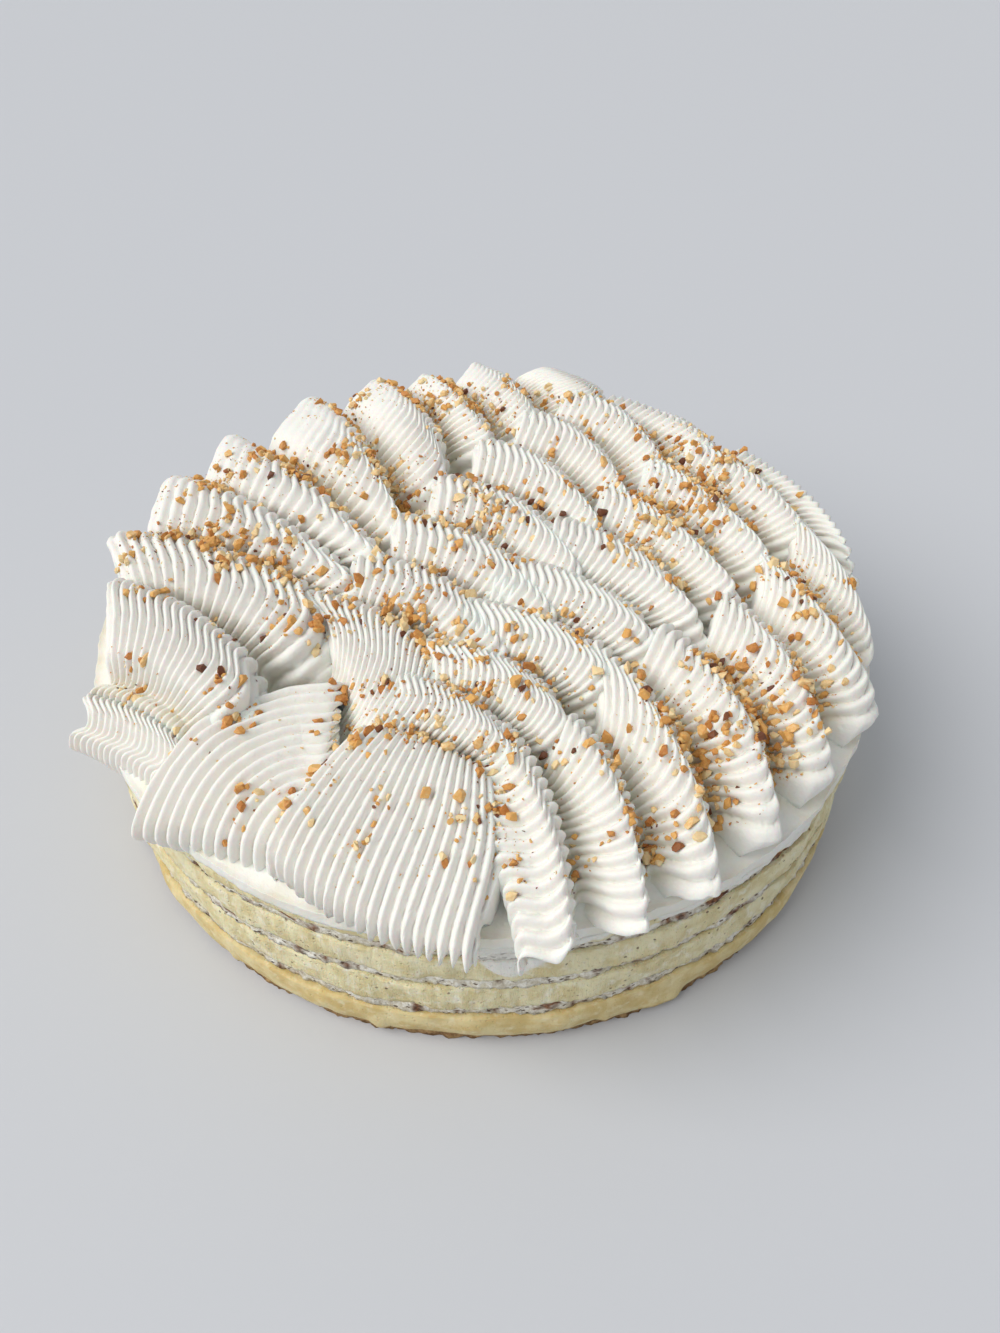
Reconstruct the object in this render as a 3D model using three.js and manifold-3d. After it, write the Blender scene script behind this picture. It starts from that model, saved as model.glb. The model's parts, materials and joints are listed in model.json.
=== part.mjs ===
// Whipped cream cake: a round layered cake under a coat of smooth white cream,
// its top covered by four wide ruffled strokes of piped cream.
// Millimetres, +Z up, the middle of the underside at the origin, the front at -Y.
import * as THREE from "three";
import Module from "manifold-3d";

const wasm = await Module();
wasm.setup();
const { Manifold, Mesh } = wasm;

// ---- cake body ----
const CAKE_RADIUS = 120;
const GAP = 0.3;
const OUTLINE_STEPS = 44;
// Waves of a layer's scraped outline: how many go round, how high and how far they are turned.
const OUTLINE_WAVES = [[3, 0.5, 1.0], [7, 0.35, 2.3], [11, 0.25, 4.1]];
const FIRST_TURN = 0.9;
const TURN_STEP = 1.7;
const LAYER_ROUGHNESS = 0.7;

// Layers from the bottom up: name, bottom, top, radius change, unevenness of the outline, colour.
const LAYERS = [
  ["nut_base", 0.0, 2.9, -1.4, 0.5, 0x8a6238],
  ["deep_custard", 3.2, 14.0, 0.0, 0.5, 0xe2cb8c],
  ["nut_layer_1", 14.3, 18.4, -1.0, 0.5, 0xcfc8bb],
  ["pale_custard_1", 18.7, 28.6, -0.4, 0.6, 0xe4dab4],
  ["nut_layer_2", 28.9, 32.6, -0.9, 0.6, 0xcfc8bb],
  ["pale_custard_2", 32.9, 42.6, -0.3, 0.6, 0xe4dab4],
  ["nut_layer_3", 42.9, 46.0, -0.9, 0.6, 0xb9ad9a],
  ["pale_custard_3", 46.3, 50.2, -0.4, 0.5, 0xe8e0c2],
  ["cream_coat", 50.5, 57.2, 0.2, 0.4, 0xf6f4ee],
];

// ---- piped strokes ----
const COAT_TOP = 57.2;
const PIPING_COLOUR = 0xfaf8f3;
const PIPING_ROUGHNESS = 0.55;
// The strokes start a little inside the coat, and are trimmed clear of it and of the layers.
const SUNK = 1;
const TRIM_RADIUS = CAKE_RADIUS + 0.9;
const TRIM_BOTTOM = -5;
// Heights between which a stroke is trimmed clear of the later strokes that lie over it.
const SHADOW_TOP = 120;
const SHADOW_BOTTOM = 20;
const SIMPLIFY = 0.05;
const RIBBON_THICK = 9.5;
const EDGE_ROUND = 5.0;
const FOLD_SLOPE = 0.62;
const FOLD_DEPTH_MIN = 5;
const FOLD_DEPTH_MAX = 11;
// Where a stroke starts: how far behind and below its first nose, and how it rises to it.
const START_SHIFT = 7;
const START_DROP = 13;
const START_SHAPE = [0.5, 0.75];
const SLIT_ANGLE = 54 * Math.PI / 180;

// The nozzle is a wide slit. The plan frame (u, v) is turned by SLIT_ANGLE, and a stroke travels
// towards -v. Each fold gives its nose: middle (u, v), width of the slit and its turn in degrees.
const CREST_HEIGHT = 78.2;
// How far a stroke reaches to the right under the next one.
const LAP = 11;
// A stroke hangs where it reaches past this radius, by its own sag at the cake's edge.
const SAG_START = 97;
const SAG_LIMIT = 1.15;
const SWEEP_STEP = 12;
// A stroke ends in a tail of slit positions that drops to its torn end, or in a sweep: a turn about
// the point (u, v) with the radii of the slit's two ends, its angles in degrees, and how far the
// slit's left and right ends have dropped at the start and at the stop. Drawn in are the shares by
// which the slit's left and right ends are drawn towards its middle in a valley: only at the rim.
const STROKES = {
  piped_stroke_1: {
    sag: 4, lap: LAP, drawnIn: [0.2, 0],
    folds: [
      [-70, 98, 34, 0], [-84, 72, 50, -8], [-82, 48, 56, -5], [-88, 30, 60, -5], [-80, 0, 82, -8],
      [-64, -28, 96, 5], [-57, -49, 86, 17], [-43, -70, 76, 32], [-23, -88, 60, 19], [-5, -111, 38, 22],
    ],
    tail: [[-3, -120, 40, 22]], tornDrop: 16,
  },
  piped_stroke_2: {
    sag: 9, lap: LAP, drawnIn: [0, 0],
    folds: [
      [-30, 108, 64, -6], [-33, 86, 60, -5], [-31, 64, 56, -2], [-24, 42, 54, 6],
      [-13, 20, 54, 12], [0, -1, 58, 16], [9, -22, 54, 17], [13, -43, 48, 18],
    ],
    sweep: { u: 64, v: -93, inner: 10, outer: 53, start: 146, stop: 214, left: [3, 7], right: [6, 9] },
  },
  piped_stroke_3: {
    sag: 9, lap: LAP, drawnIn: [0, 0],
    folds: [
      [28, 114, 64, -14], [17, 100, 50, 0], [18, 80, 52, -3], [23, 58, 54, 0], [28, 36, 52, 8],
      [31, 13, 50, 22], [37, -8, 46, 28], [46, -26, 40, 25], [54, -42, 36, 16],
    ],
    tail: [[55, -58, 34, 30], [66, -72, 45, 30], [78, -90, 54, 27]], tornDrop: 6,
  },
  piped_stroke_4: {
    sag: 10, lap: 0, drawnIn: [0, 0.34],
    folds: [
      [56, 95, 34, -18], [78, 70, 52, -6], [87, 44, 56, -14], [90, 19, 62, -14],
      [88, -3, 72, -13], [98, -26, 54, -17], [93, -44, 52, -19],
    ],
    tail: [[86, -60, 49, -14]], tornDrop: 7,
  },
};

// Shape of one fold between two crests: share of the way, share of the fold's depth.
const FOLD_SHAPE = [[0.16, -0.05], [0.36, -0.28], [0.6, -0.68], [0.84, -1.0], [0.91, -0.62], [0.96, -0.16]];
// Shape of the drop from a crest to a low place: share of the way, share of the drop.
const DROP_SHAPE = [[0.2, 0.05], [0.45, 0.25], [0.72, 0.6]];
// Shape of the rise from a low place to the next crest: share of the way, share of the rise.
const RISE_SHAPE = [[0.35, 0.5], [0.7, 0.88]];
// Positions across the slit from left to right and how far the rounded edge has dropped there.
const ACROSS = [[-1, 1], [-0.96, 0.45], [-0.88, 0.1], [-0.3, 0], [0.3, 0], [0.88, 0.1], [0.96, 0.45], [1, 1]];

const mix = (a, b, t) => a + (b - a) * t;

// Slit position part of the way between two others, with its own share of the change in height.
function mixRows(a, b, t, h, lift) {
  return [
    mix(a[0], b[0], t), mix(a[1], b[1], t), mix(a[2], b[2], h) + lift,
    mix(a[3], b[3], t), mix(a[4], b[4], t), mix(a[5], b[5], h) + lift,
  ];
}

const radians = (degrees) => degrees * Math.PI / 180;

// How far a slit end hangs where it reaches out over the edge of the cake.
function sagAt(u, v, sag) {
  const past = (Math.hypot(u, v) - SAG_START) / (CAKE_RADIUS - SAG_START);
  return sag * Math.min(Math.max(past, 0), SAG_LIMIT) ** 2;
}

// Slit position between two ends that lie lower than a nose by their own drops.
function slitBetween(ul, vl, dropLeft, ur, vr, dropRight, sag, kind) {
  return [
    ul, vl, CREST_HEIGHT - dropLeft - sagAt(ul, vl, sag),
    ur, vr, CREST_HEIGHT - dropRight - sagAt(ur, vr, sag), kind,
  ];
}

// Slit position with its ends drawn towards its middle, hanging as little as it does there.
function drawnTogether([ul, vl, zl, ur, vr, zr], [left, right], sag) {
  const [u, v] = [(ul + ur) / 2, (vl + vr) / 2];
  const [ul2, vl2] = [mix(ul, u, left), mix(vl, v, left)];
  const [ur2, vr2] = [mix(ur, u, right), mix(vr, v, right)];
  return [
    ul2, vl2, zl + sagAt(ul, vl, sag) - sagAt(ul2, vl2, sag),
    ur2, vr2, zr + sagAt(ur, vr, sag) - sagAt(ur2, vr2, sag),
  ];
}

function slitAt([u, v, width, turn], stroke, lap, drop, kind) {
  const [c, s] = [Math.cos(radians(turn)), Math.sin(radians(turn))];
  const [left, right] = [-width / 2, width / 2 + lap];
  return slitBetween(u + left * c, v + left * s, drop, u + right * c, v + right * s, drop, stroke.sag, kind);
}

// Slit positions of a stroke's end that turns about a point and drops over the edge.
function sweepRows(stroke) {
  const w = stroke.sweep;
  const count = Math.floor(Math.abs(w.stop - w.start) / SWEEP_STEP);
  return Array.from({ length: count + 1 }, (_, i) => {
    const t = i / count;
    const a = radians(mix(w.start, w.stop, t));
    const [c, s] = [Math.cos(a), Math.sin(a)];
    return slitBetween(
      w.u + w.outer * c, w.v + w.outer * s, mix(w.left[0], w.left[1], t * t),
      w.u + w.inner * c, w.v + w.inner * s, mix(w.right[0], w.right[1], t * t), stroke.sag, 1,
    );
  });
}

// The last slit positions of a stroke, dropping evenly to its torn end.
function tailRows(stroke) {
  const count = stroke.tail.length;
  return stroke.tail.map((fold, i) => slitAt(fold, stroke, 0, stroke.tornDrop * (i + 1) / count, 1));
}

function strokeRows(stroke) {
  const rows = stroke.folds.map((fold) => slitAt(fold, stroke, stroke.lap, 0, 0));
  return [...rows, ...(stroke.sweep ? sweepRows(stroke) : tailRows(stroke))];
}

// All slit positions of a stroke, with the slopes and valleys between its crests put in.
function slitRun(stroke) {
  const rows = strokeRows(stroke);
  const first = rows[0];
  const start = [...first];
  start[1] += START_SHIFT;
  start[4] += START_SHIFT;
  start[2] -= START_DROP;
  start[5] -= START_DROP;
  const run = [start, mixRows(start, first, ...START_SHAPE, 0)];
  rows.forEach((a, k) => {
    run.push(a);
    const b = rows[k + 1];
    if (!b) {
      return;
    }
    const falls = a[6] === 0 && b[6] === 1;
    const rises = a[6] === 1 && b[6] === 0;
    if (falls || rises) {
      for (const [t, h] of falls ? DROP_SHAPE : RISE_SHAPE) {
        run.push(mixRows(a, b, t, h, 0));
      }
    } else if (a[6] === 0) {
      const pitch = Math.hypot(a[0] + a[3] - b[0] - b[3], a[1] + a[4] - b[1] - b[4]) / 2;
      const depth = Math.min(FOLD_DEPTH_MAX, Math.max(FOLD_DEPTH_MIN, FOLD_SLOPE * pitch));
      for (const [t, h] of FOLD_SHAPE) {
        const drawn = stroke.drawnIn.map((share) => -h * share);
        run.push(drawnTogether(mixRows(a, b, t, t, depth * h), drawn, stroke.sag));
      }
    }
  });
  return run;
}

function toCake(u, v) {
  const c = Math.cos(SLIT_ANGLE);
  const s = Math.sin(SLIT_ANGLE);
  return [u * c + v * s, -u * s + v * c];
}

// Closed body between a grid of upper points and a grid of lower points over it.
function slab(upper, lower) {
  const n = upper.length;
  const m = upper[0].length;
  const points = [...upper.flat(), ...lower.flat()];
  const top = (i, j) => i * m + j;
  const low = (i, j) => n * m + i * m + j;
  const tris = [];
  const quad = (a, b, c, d) => tris.push(a, b, c, a, c, d);
  for (let i = 0; i + 1 < n; i++) {
    for (let j = 0; j + 1 < m; j++) {
      quad(top(i, j), top(i + 1, j), top(i + 1, j + 1), top(i, j + 1));
      quad(low(i, j), low(i, j + 1), low(i + 1, j + 1), low(i + 1, j));
    }
    quad(top(i, 0), low(i, 0), low(i + 1, 0), top(i + 1, 0));
    quad(top(i + 1, m - 1), low(i + 1, m - 1), low(i, m - 1), top(i, m - 1));
  }
  for (let j = 0; j + 1 < m; j++) {
    quad(top(0, j + 1), low(0, j + 1), low(0, j), top(0, j));
    quad(top(n - 1, j), low(n - 1, j), low(n - 1, j + 1), top(n - 1, j + 1));
  }
  return solid(points, tris);
}

function solid(points, tris) {
  const mesh = new Mesh({
    numProp: 3,
    vertProperties: new Float32Array(points.flat()),
    triVerts: new Uint32Array(tris),
  });
  mesh.merge();
  return new Manifold(mesh);
}

function strokeBody(stroke) {
  const upper = [];
  const lower = [];
  for (const [ul, vl, zl, ur, vr, zr] of slitRun(stroke)) {
    const up = [];
    const down = [];
    for (const [s, drop] of ACROSS) {
      const t = (s + 1) / 2;
      const [x, y] = toCake(mix(ul, ur, t), mix(vl, vr, t));
      const z = mix(zl, zr, t);
      up.push([x, y, z - EDGE_ROUND * drop]);
      down.push([x, y, Math.min(COAT_TOP - SUNK, z - RIBBON_THICK)]);
    }
    upper.push(up);
    lower.push(down);
  }
  return slab(upper, lower);
}

// Upright block over the whole plan of a stroke before it is drawn in, a gap wider all round.
function strokeShadow(stroke) {
  const run = slitRun({ ...stroke, drawnIn: [0, 0] });
  const upper = [];
  const lower = [];
  run.forEach(([ul, vl, , ur, vr], i) => {
    const along = i === 0 ? 2 * GAP : i === run.length - 1 ? -2 * GAP : 0;
    const [xl, yl] = toCake(ul - GAP, vl + along);
    const [xr, yr] = toCake(ur + GAP, vr + along);
    upper.push([[xl, yl, SHADOW_TOP], [xr, yr, SHADOW_TOP]]);
    lower.push([[xl, yl, SHADOW_BOTTOM], [xr, yr, SHADOW_BOTTOM]]);
  });
  return slab(upper, lower);
}

// Disc with a hand-scraped, slightly uneven outline.
function disc(bottom, top, radius, uneven, turn) {
  const points = [[0, 0, bottom], [0, 0, top]];
  const tris = [];
  const n = OUTLINE_STEPS;
  for (let i = 0; i < n; i++) {
    const a = 2 * Math.PI * i / n;
    const waves = OUTLINE_WAVES.map(([times, size, share]) => size * Math.sin(times * a + share * turn));
    const r = radius + uneven * waves.reduce((sum, wave) => sum + wave);
    points.push([r * Math.cos(a), r * Math.sin(a), bottom], [r * Math.cos(a), r * Math.sin(a), top]);
    const [b0, t0, b1, t1] = [2 + 2 * i, 3 + 2 * i, 2 + 2 * ((i + 1) % n), 3 + 2 * ((i + 1) % n)];
    tris.push(0, b1, b0, 1, t0, t1, b0, b1, t1, b0, t1, t0);
  }
  return solid(points, tris);
}

function toMesh(name, body, colour, roughness) {
  const m = body.getMesh();
  const position = [];
  for (let i = 0; i < m.numVert; i++) {
    position.push(...m.vertProperties.slice(i * m.numProp, i * m.numProp + 3));
  }
  const geometry = new THREE.BufferGeometry();
  geometry.setAttribute("position", new THREE.Float32BufferAttribute(position, 3));
  geometry.setIndex([...m.triVerts]);
  const material = new THREE.MeshStandardMaterial({ color: colour, roughness, metalness: 0 });
  material.name = name + "_finish";
  const mesh = new THREE.Mesh(geometry, material);
  mesh.name = name;
  return mesh;
}

// The largest body left when a stroke has been trimmed; loose slivers are dropped.
function largest(body) {
  const parts = body.decompose();
  parts.sort((a, b) => b.volume() - a.volume());
  return parts[0];
}

const cake = new THREE.Group();
cake.name = "whipped_cream_cake";
LAYERS.forEach(([name, bottom, top, change, uneven, colour], i) => {
  const body = disc(bottom, top, CAKE_RADIUS + change, uneven, FIRST_TURN + TURN_STEP * i);
  cake.add(toMesh(name, body, colour, LAYER_ROUGHNESS));
});

const names = Object.keys(STROKES);
const cakeBody = disc(TRIM_BOTTOM, COAT_TOP + GAP, TRIM_RADIUS, 0, 0);
names.forEach((name, i) => {
  let body = strokeBody(STROKES[name]).subtract(cakeBody);
  for (const later of names.slice(i + 1)) {
    body = body.subtract(strokeShadow(STROKES[later]));
  }
  cake.add(toMesh(name, largest(body).simplify(SIMPLIFY), PIPING_COLOUR, PIPING_ROUGHNESS));
});

export default cake;
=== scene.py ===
"""Whipped cream cake: every layer, the ruffled piping and the chopped nuts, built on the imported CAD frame."""

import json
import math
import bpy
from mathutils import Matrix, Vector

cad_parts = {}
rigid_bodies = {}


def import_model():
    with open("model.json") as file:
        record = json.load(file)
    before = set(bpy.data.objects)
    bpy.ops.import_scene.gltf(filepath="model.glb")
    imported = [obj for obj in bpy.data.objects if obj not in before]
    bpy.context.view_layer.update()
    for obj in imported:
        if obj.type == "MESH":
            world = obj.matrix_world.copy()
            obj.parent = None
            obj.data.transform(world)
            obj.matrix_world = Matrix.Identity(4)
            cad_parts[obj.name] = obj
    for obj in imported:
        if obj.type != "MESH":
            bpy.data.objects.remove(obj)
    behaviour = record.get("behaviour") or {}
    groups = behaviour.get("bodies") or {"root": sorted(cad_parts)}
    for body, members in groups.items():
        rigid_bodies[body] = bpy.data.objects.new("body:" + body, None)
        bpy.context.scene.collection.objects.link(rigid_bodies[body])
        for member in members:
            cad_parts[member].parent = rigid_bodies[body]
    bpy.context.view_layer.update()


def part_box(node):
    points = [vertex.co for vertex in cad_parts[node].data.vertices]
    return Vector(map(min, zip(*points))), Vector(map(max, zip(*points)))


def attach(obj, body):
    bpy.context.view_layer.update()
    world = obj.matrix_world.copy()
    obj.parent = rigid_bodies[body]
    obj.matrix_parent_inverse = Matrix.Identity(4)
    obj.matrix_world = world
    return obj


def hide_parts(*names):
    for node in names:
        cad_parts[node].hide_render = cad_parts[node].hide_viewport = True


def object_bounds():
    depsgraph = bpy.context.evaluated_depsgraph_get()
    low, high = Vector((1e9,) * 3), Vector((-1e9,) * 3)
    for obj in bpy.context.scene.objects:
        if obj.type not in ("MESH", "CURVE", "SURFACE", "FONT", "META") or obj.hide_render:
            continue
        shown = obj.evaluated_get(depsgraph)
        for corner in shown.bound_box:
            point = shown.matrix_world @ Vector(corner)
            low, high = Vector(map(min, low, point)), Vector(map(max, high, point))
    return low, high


bl_info = {
    "name": "Whipped Cream Cake",
    "version": (1, 0, 0),
    "blender": (4, 5, 0),
    "location": "View3D > Sidebar > Cake",
    "description": "Builds a layered cream cake with ruffled piping, its stage and its camera",
    "category": "Add Mesh",
}

from collections import namedtuple

import bmesh
import bpy
import numpy as np
from mathutils import Matrix, Vector
from mathutils.bvhtree import BVHTree

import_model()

# Lengths are in millimetres, unless a name or a comment says otherwise.
MM = 0.001
CAKE_RADIUS = float(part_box("deep_custard")[1][0]) / MM
COAT_TOP = float(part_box("cream_coat")[1][2]) / MM
PIPING_TOP = float(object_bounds()[1][2]) / MM

# ---------- piping sizes
# The nozzle is a wide toothed slit, pulled along in folds. The plan frame (u, v) is turned by
# SLIT_ANGLE: u runs along the slit, and a stroke travels towards -v.
SLIT_ANGLE = math.radians(54)
NOSE_HEIGHT = PIPING_TOP - 3.0

# The nose of a fold: its middle, the width of the slit, its turn in degrees and how far its
# middle lies behind its ends.
Fold = namedtuple("Fold", "u v width turn bow")
# An end that turns about a point: the radii of the slit's two ends, its angles in degrees, how
# far its left and right ends drop as it turns, and its share of the ribs.
Sweep = namedtuple("Sweep", "u v inner outer start stop left right ribs")
# A stroke: its folds and number of ribs; how far it sags at the cake's edge; the share of its
# width tucked under the next stroke, and how much of that is left off at the end; how much of its
# thickness its ends round down; the share of its width added at the left; a multiple of the
# drawing in of its folds. It ends in a tail, slit positions that drop evenly until it is torn off,
# or in a sweep. From the first to the second place in smeared its flattened ribs become whole.
Stroke = namedtuple(
    "Stroke",
    "folds ribs sag tuck end_drop short_tuck start_edge drawn_in tail torn_drop sweep smeared toothed",
    defaults=(0.0, 0.05, 1.0, (), 0.0, None, None, False),
)
STROKES = {
    "piped_stroke_1": Stroke(
        folds=[
            Fold(-70, 98, 34, 0, 2), Fold(-84, 72, 50, -8, 2), Fold(-82, 48, 56, -5, 2),
            Fold(-88, 30, 60, -5, 3), Fold(-80, 0, 82, -8, 4), Fold(-64, -28, 96, 5, 2),
            Fold(-57, -49, 86, 17, 3), Fold(-43, -70, 76, 32, 4), Fold(-23, -88, 60, 19, 3),
            Fold(-5, -111, 38, 22, 2),
        ],
        tail=[Fold(-3, -120, 38, 22, 1)],
        torn_drop=13.0,
        ribs=16, sag=4.0, tuck=0.16, short_tuck=0.3, end_drop=0.7, start_edge=0.0,
        smeared=(-106.0, -62.0),
    ),
    "piped_stroke_2": Stroke(
        folds=[
            Fold(-30, 108, 64, -6, 4), Fold(-33, 86, 60, -5, 5), Fold(-31, 64, 56, -2, 6),
            Fold(-24, 42, 54, 6, 6), Fold(-13, 20, 54, 12, 6), Fold(0, -1, 58, 16, 5),
            Fold(9, -22, 54, 17, 5), Fold(13, -43, 48, 18, 5),
        ],
        sweep=Sweep(64, -93, 13, 54, 146, 214, (4, 6), (4, 7), 0.7),
        ribs=16, sag=9.0, tuck=0.20, end_drop=0.6,
    ),
    "piped_stroke_3": Stroke(
        folds=[
            Fold(28, 114, 64, -14, 2), Fold(17, 100, 50, 0, 3), Fold(18, 80, 52, -3, 2),
            Fold(23, 58, 54, 0, 3), Fold(28, 36, 52, 8, 4), Fold(31, 13, 50, 22, 4),
            Fold(37, -8, 46, 28, 3), Fold(46, -26, 40, 25, 3), Fold(54, -42, 36, 16, 3),
        ],
        tail=[Fold(55, -58, 34, 30, 2), Fold(66, -72, 45, 30, 1), Fold(78, -90, 50, 27, -3)],
        torn_drop=1.0,
        ribs=17, sag=9.0, tuck=0.19, short_tuck=0.5, end_drop=0.3, toothed=True,
    ),
    "piped_stroke_4": Stroke(
        folds=[
            Fold(56, 95, 34, -18, 1), Fold(78, 70, 52, -6, -1), Fold(87, 44, 56, -14, 1),
            Fold(90, 19, 62, -14, 3), Fold(88, -3, 72, -13, 3), Fold(98, -26, 54, -17, 3),
            Fold(93, -44, 52, -19, 3),
        ],
        tail=[Fold(86, -60, 49, -14, 2)],
        torn_drop=3.0,
        ribs=15, sag=10.0, tuck=0.0, end_drop=0.7, drawn_in=1.7,
    ),
}

# Places on the way from one nose to the next: kind, share of the way, swing to the right, how much
# the slit's ends are drawn in, and rise above the noses, or None for the whole depth below them.
FOLD_SHAPE = (
    ("N", 0.0, -7.0, 0.08, 0.0),
    ("T", 0.34, 1.0, 0.0, 2.8),
    ("S", 0.62, 2.0, 0.08, 0.0),
    ("V", 0.84, -4.0, 0.20, None),
)
# The ends of a nose lie this much lower than its middle. A fold on its way to a lower nose starts
# no more than STEP_DOWN above it.
CROWN = 1.0
STEP_DOWN = 3.0
# How deep in a valley each kind of place lies, from 0 to 1, which sets the painted shade there.
DEPTH_OF = {"N": 0.0, "T": 0.0, "S": 0.15, "V": 0.9}
# Rows of the hidden wall below a nose: share of the way from the valley, step back, climb. It
# stays within WALL_REACH of the nose.
NOSE_WALL = ((0.55, 0.3, -0.15), (0.85, 0.9, 0.15), (0.95, 0.9, 0.5), (1.0, 0.4, 0.82))
WALL_REACH = 3.0
# A stroke starts this far behind and below its first nose. A nose ends in a brow ahead of it.
START = np.array([0.0, 4.0, -14.0])
BROW = np.array([0.0, -1.6, 0.9])
# The lip of a torn end hangs a little outside its last slit position and lower.
LIP_OUT, LIP_DROP = 2.5, 8.0
# Degrees between the slit positions of a sweep.
SWEEP_STEP = 12
# A ribbon sags where it reaches past this radius, by the stroke's own amount at the cake's edge.
SAG_START = 97.0
SAG_LIMIT = 1.15

# The slit's ends are rounded: how wide, how far down, how steep at the very edge, and the share
# of the drop that a torn end leaves out.
EDGE_WIDTH, EDGE_DROP, EDGE_STEEP, EDGE_EASED = 4.5, 3.6, 0.97, 0.8
# The part tucked under drops by TUCK_DROP between these distances past the slit.
TUCK_DROP, TUCK_SPAN = 9.0, (0.5, 10.0)
# Shares of the length: where a torn end thins out, the tuck and the left edge get narrower, the
# teeth begin, and the flank of the start comes down.
TORN_SPAN = (0.94, 0.985)
TUCK_END, EDGE_END, TEETH_SPAN, FLANK_START = (0.86, 0.97), (0.82, 0.95), (0.9, 1.0), (0.0, 0.03)
# Rows that the run is worked out in, and the length that the underside is evened out over.
RUN_ROWS = 1400
BED_SPAN = 60
# The curve along a stroke is calmer for a power below 1. Slopes are taken this far both ways
# along the stroke, and this share of the width across it, where heights count for less.
KNOT_POWER, SLOPE_LENGTH, SLOPE_SHARE, SIDE_SLOPE = 0.7, 0.5, 0.02, 0.4
# Strength of the painted shade at the bottom of a groove, the bottom of a valley and the underside.
GROOVE_SHADE, VALLEY_SHADE, UNDER_SHADE = 0.5, 0.6, 0.6
# The ribs: how pointed, the level that counts as their middle, and the widest pitch that still
# makes them higher. Where the surface is squeezed they keep at least the share LEAST_RIB.
RIB_POWER, RIB_MIDDLE, WIDEST_PITCH = 0.85, 0.62, 4.0
SQUEEZE, LEAST_RIB = 1.3, 0.35
# Noise as (size, seed, height): ribs that sway, as a share of the width, and uneven cream.
RIB_SWAY = ((6.0, 5, 0.010), (2.6, 6, 0.006))
CREAM_WAVES = ((1.1, 7, 0.07), (3.7, 8, 0.16), (14.0, 9, 0.5))
SMEAR_RAGGED = ((12.0, 10, 6.0),)
SMEAR_LEFT = 0.12
# The mesh of a ribbon: columns for each rib and for both flanks, the step between rows, and the
# most faces of its upper side. The underside is coarser.
RIB_COLUMNS, FLANK_COLUMNS, ROW_STEP, MOST_FACES = 8, 16, 0.45, 92000
UNDER_COARSE = (4, 5)
MOST_TRIANGLES = 199000
# The teeth of a torn end, and the length that both ends are rounded over.
TOOTH_LENGTH, TOOTH_POWER = 4.5, 0.8
END_LENGTH = 4
# The underside is sunk in the coat or lies a ribbon's thickness below the top, within
# UNDER_RADIUS. The flanks come down by up to FLANK_DEPTH.
UNDER_SUNK, RIBBON_THICK, UNDER_RADIUS = 0.7, 7.5, 118
FLANK_DEPTH, FLANK_SUNK, FLANK_LEAST, FLANK_RADIUS = 14.0, 2.0, 5.0, 117
FLANK_SWELL, FLANK_ROUND, FLANK_POWER = 1.3, 0.9, 1.6


# ---------- noise
def lattice(n, seed):
    """One repeatable number from 0 to 1 for each whole-number cell."""
    h = n[..., 0] * 374761393 + n[..., 1] * 668265263 + n[..., 2] * 2147483647 + seed * 1274126177
    h = h & 0xFFFFFFFF
    h = ((h ^ (h >> 13)) * 1274126177) & 0xFFFFFFFF
    return ((h ^ (h >> 16)) & 0xFFFF) / 65535.0


def value_noise(p, scale, seed=0):
    """Smooth noise from -1 to 1 at points p, with cells of the size scale."""
    q = np.asarray(p, float) / scale
    base = np.floor(q).astype(np.int64)
    f = q - base
    f = f * f * (3 - 2 * f)
    total = np.zeros(len(q))
    for corner in range(8):
        step = np.array([corner & 1, corner >> 1 & 1, corner >> 2 & 1])
        weight = np.prod(np.where(step, f, 1 - f), axis=1)
        total += weight * lattice(base + step, seed)
    return total * 2 - 1


def waves(p, grades):
    """Sum of grades of noise at points p, each with its size, seed and height."""
    return sum(height * value_noise(p, size, seed) for size, seed, height in grades)


def smooth(x, low, high):
    """0 below low, 1 above high and an easy curve between."""
    t = np.clip((x - low) / (high - low), 0, 1)
    return t * t * (3 - 2 * t)


# ---------- mesh helpers
def new_mesh(name, bm):
    """Turns a bmesh into a mesh."""
    mesh = bpy.data.meshes.new(name)
    bm.to_mesh(mesh)
    bm.free()
    return mesh


def new_object(name, data):
    """Puts a mesh, a light or a camera in the scene."""
    made = bpy.data.objects.new(name, data)
    bpy.context.scene.collection.objects.link(made)
    return made


def finish_piece(name, bm, material, nodes=(), smooth_faces=True):
    """Turns a bmesh into a piece of the cake, which rides on its body and stands for its CAD nodes."""
    mesh = new_mesh(name, bm)
    if smooth_faces:
        mesh.shade_smooth()
    else:
        mesh.shade_flat()
    piece = new_object(name, mesh)
    mesh.materials.append(material)
    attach(piece, "root")
    if nodes:
        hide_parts(*nodes)
    return piece


def corners(mesh):
    """The places of a mesh's vertices."""
    co = np.empty(len(mesh.vertices) * 3)
    mesh.vertices.foreach_get("co", co)
    return co.reshape(-1, 3)


def set_corners(mesh, co):
    mesh.vertices.foreach_set("co", np.ascontiguousarray(co, dtype=float).ravel())
    mesh.update()


def paint(mesh, name, values):
    """Stores a value for each vertex, which a material can read by name."""
    layer = mesh.attributes.new(name, "FLOAT", "POINT")
    layer.data.foreach_set("value", np.ascontiguousarray(values, dtype=float))


def cream_name(stroke_name):
    """The name of the piece that stands for a stroke."""
    return stroke_name.replace("stroke", "cream")


# ---------- piping
def to_cake(u, v):
    """Turns a place of the plan frame into x and y of the cake."""
    c, s = math.cos(SLIT_ANGLE), math.sin(SLIT_ANGLE)
    return u * c + v * s, -u * s + v * c


def sag_at(stroke, points):
    """How far the points of a slit hang where they reach out over the edge of the cake."""
    past = (np.hypot(points[:, 0], points[:, 1]) - SAG_START) / (CAKE_RADIUS - SAG_START)
    return stroke.sag * np.clip(past, 0, SAG_LIMIT) ** 2


def sagged(stroke, points):
    points[:, 2] -= sag_at(stroke, points)
    return points


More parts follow.
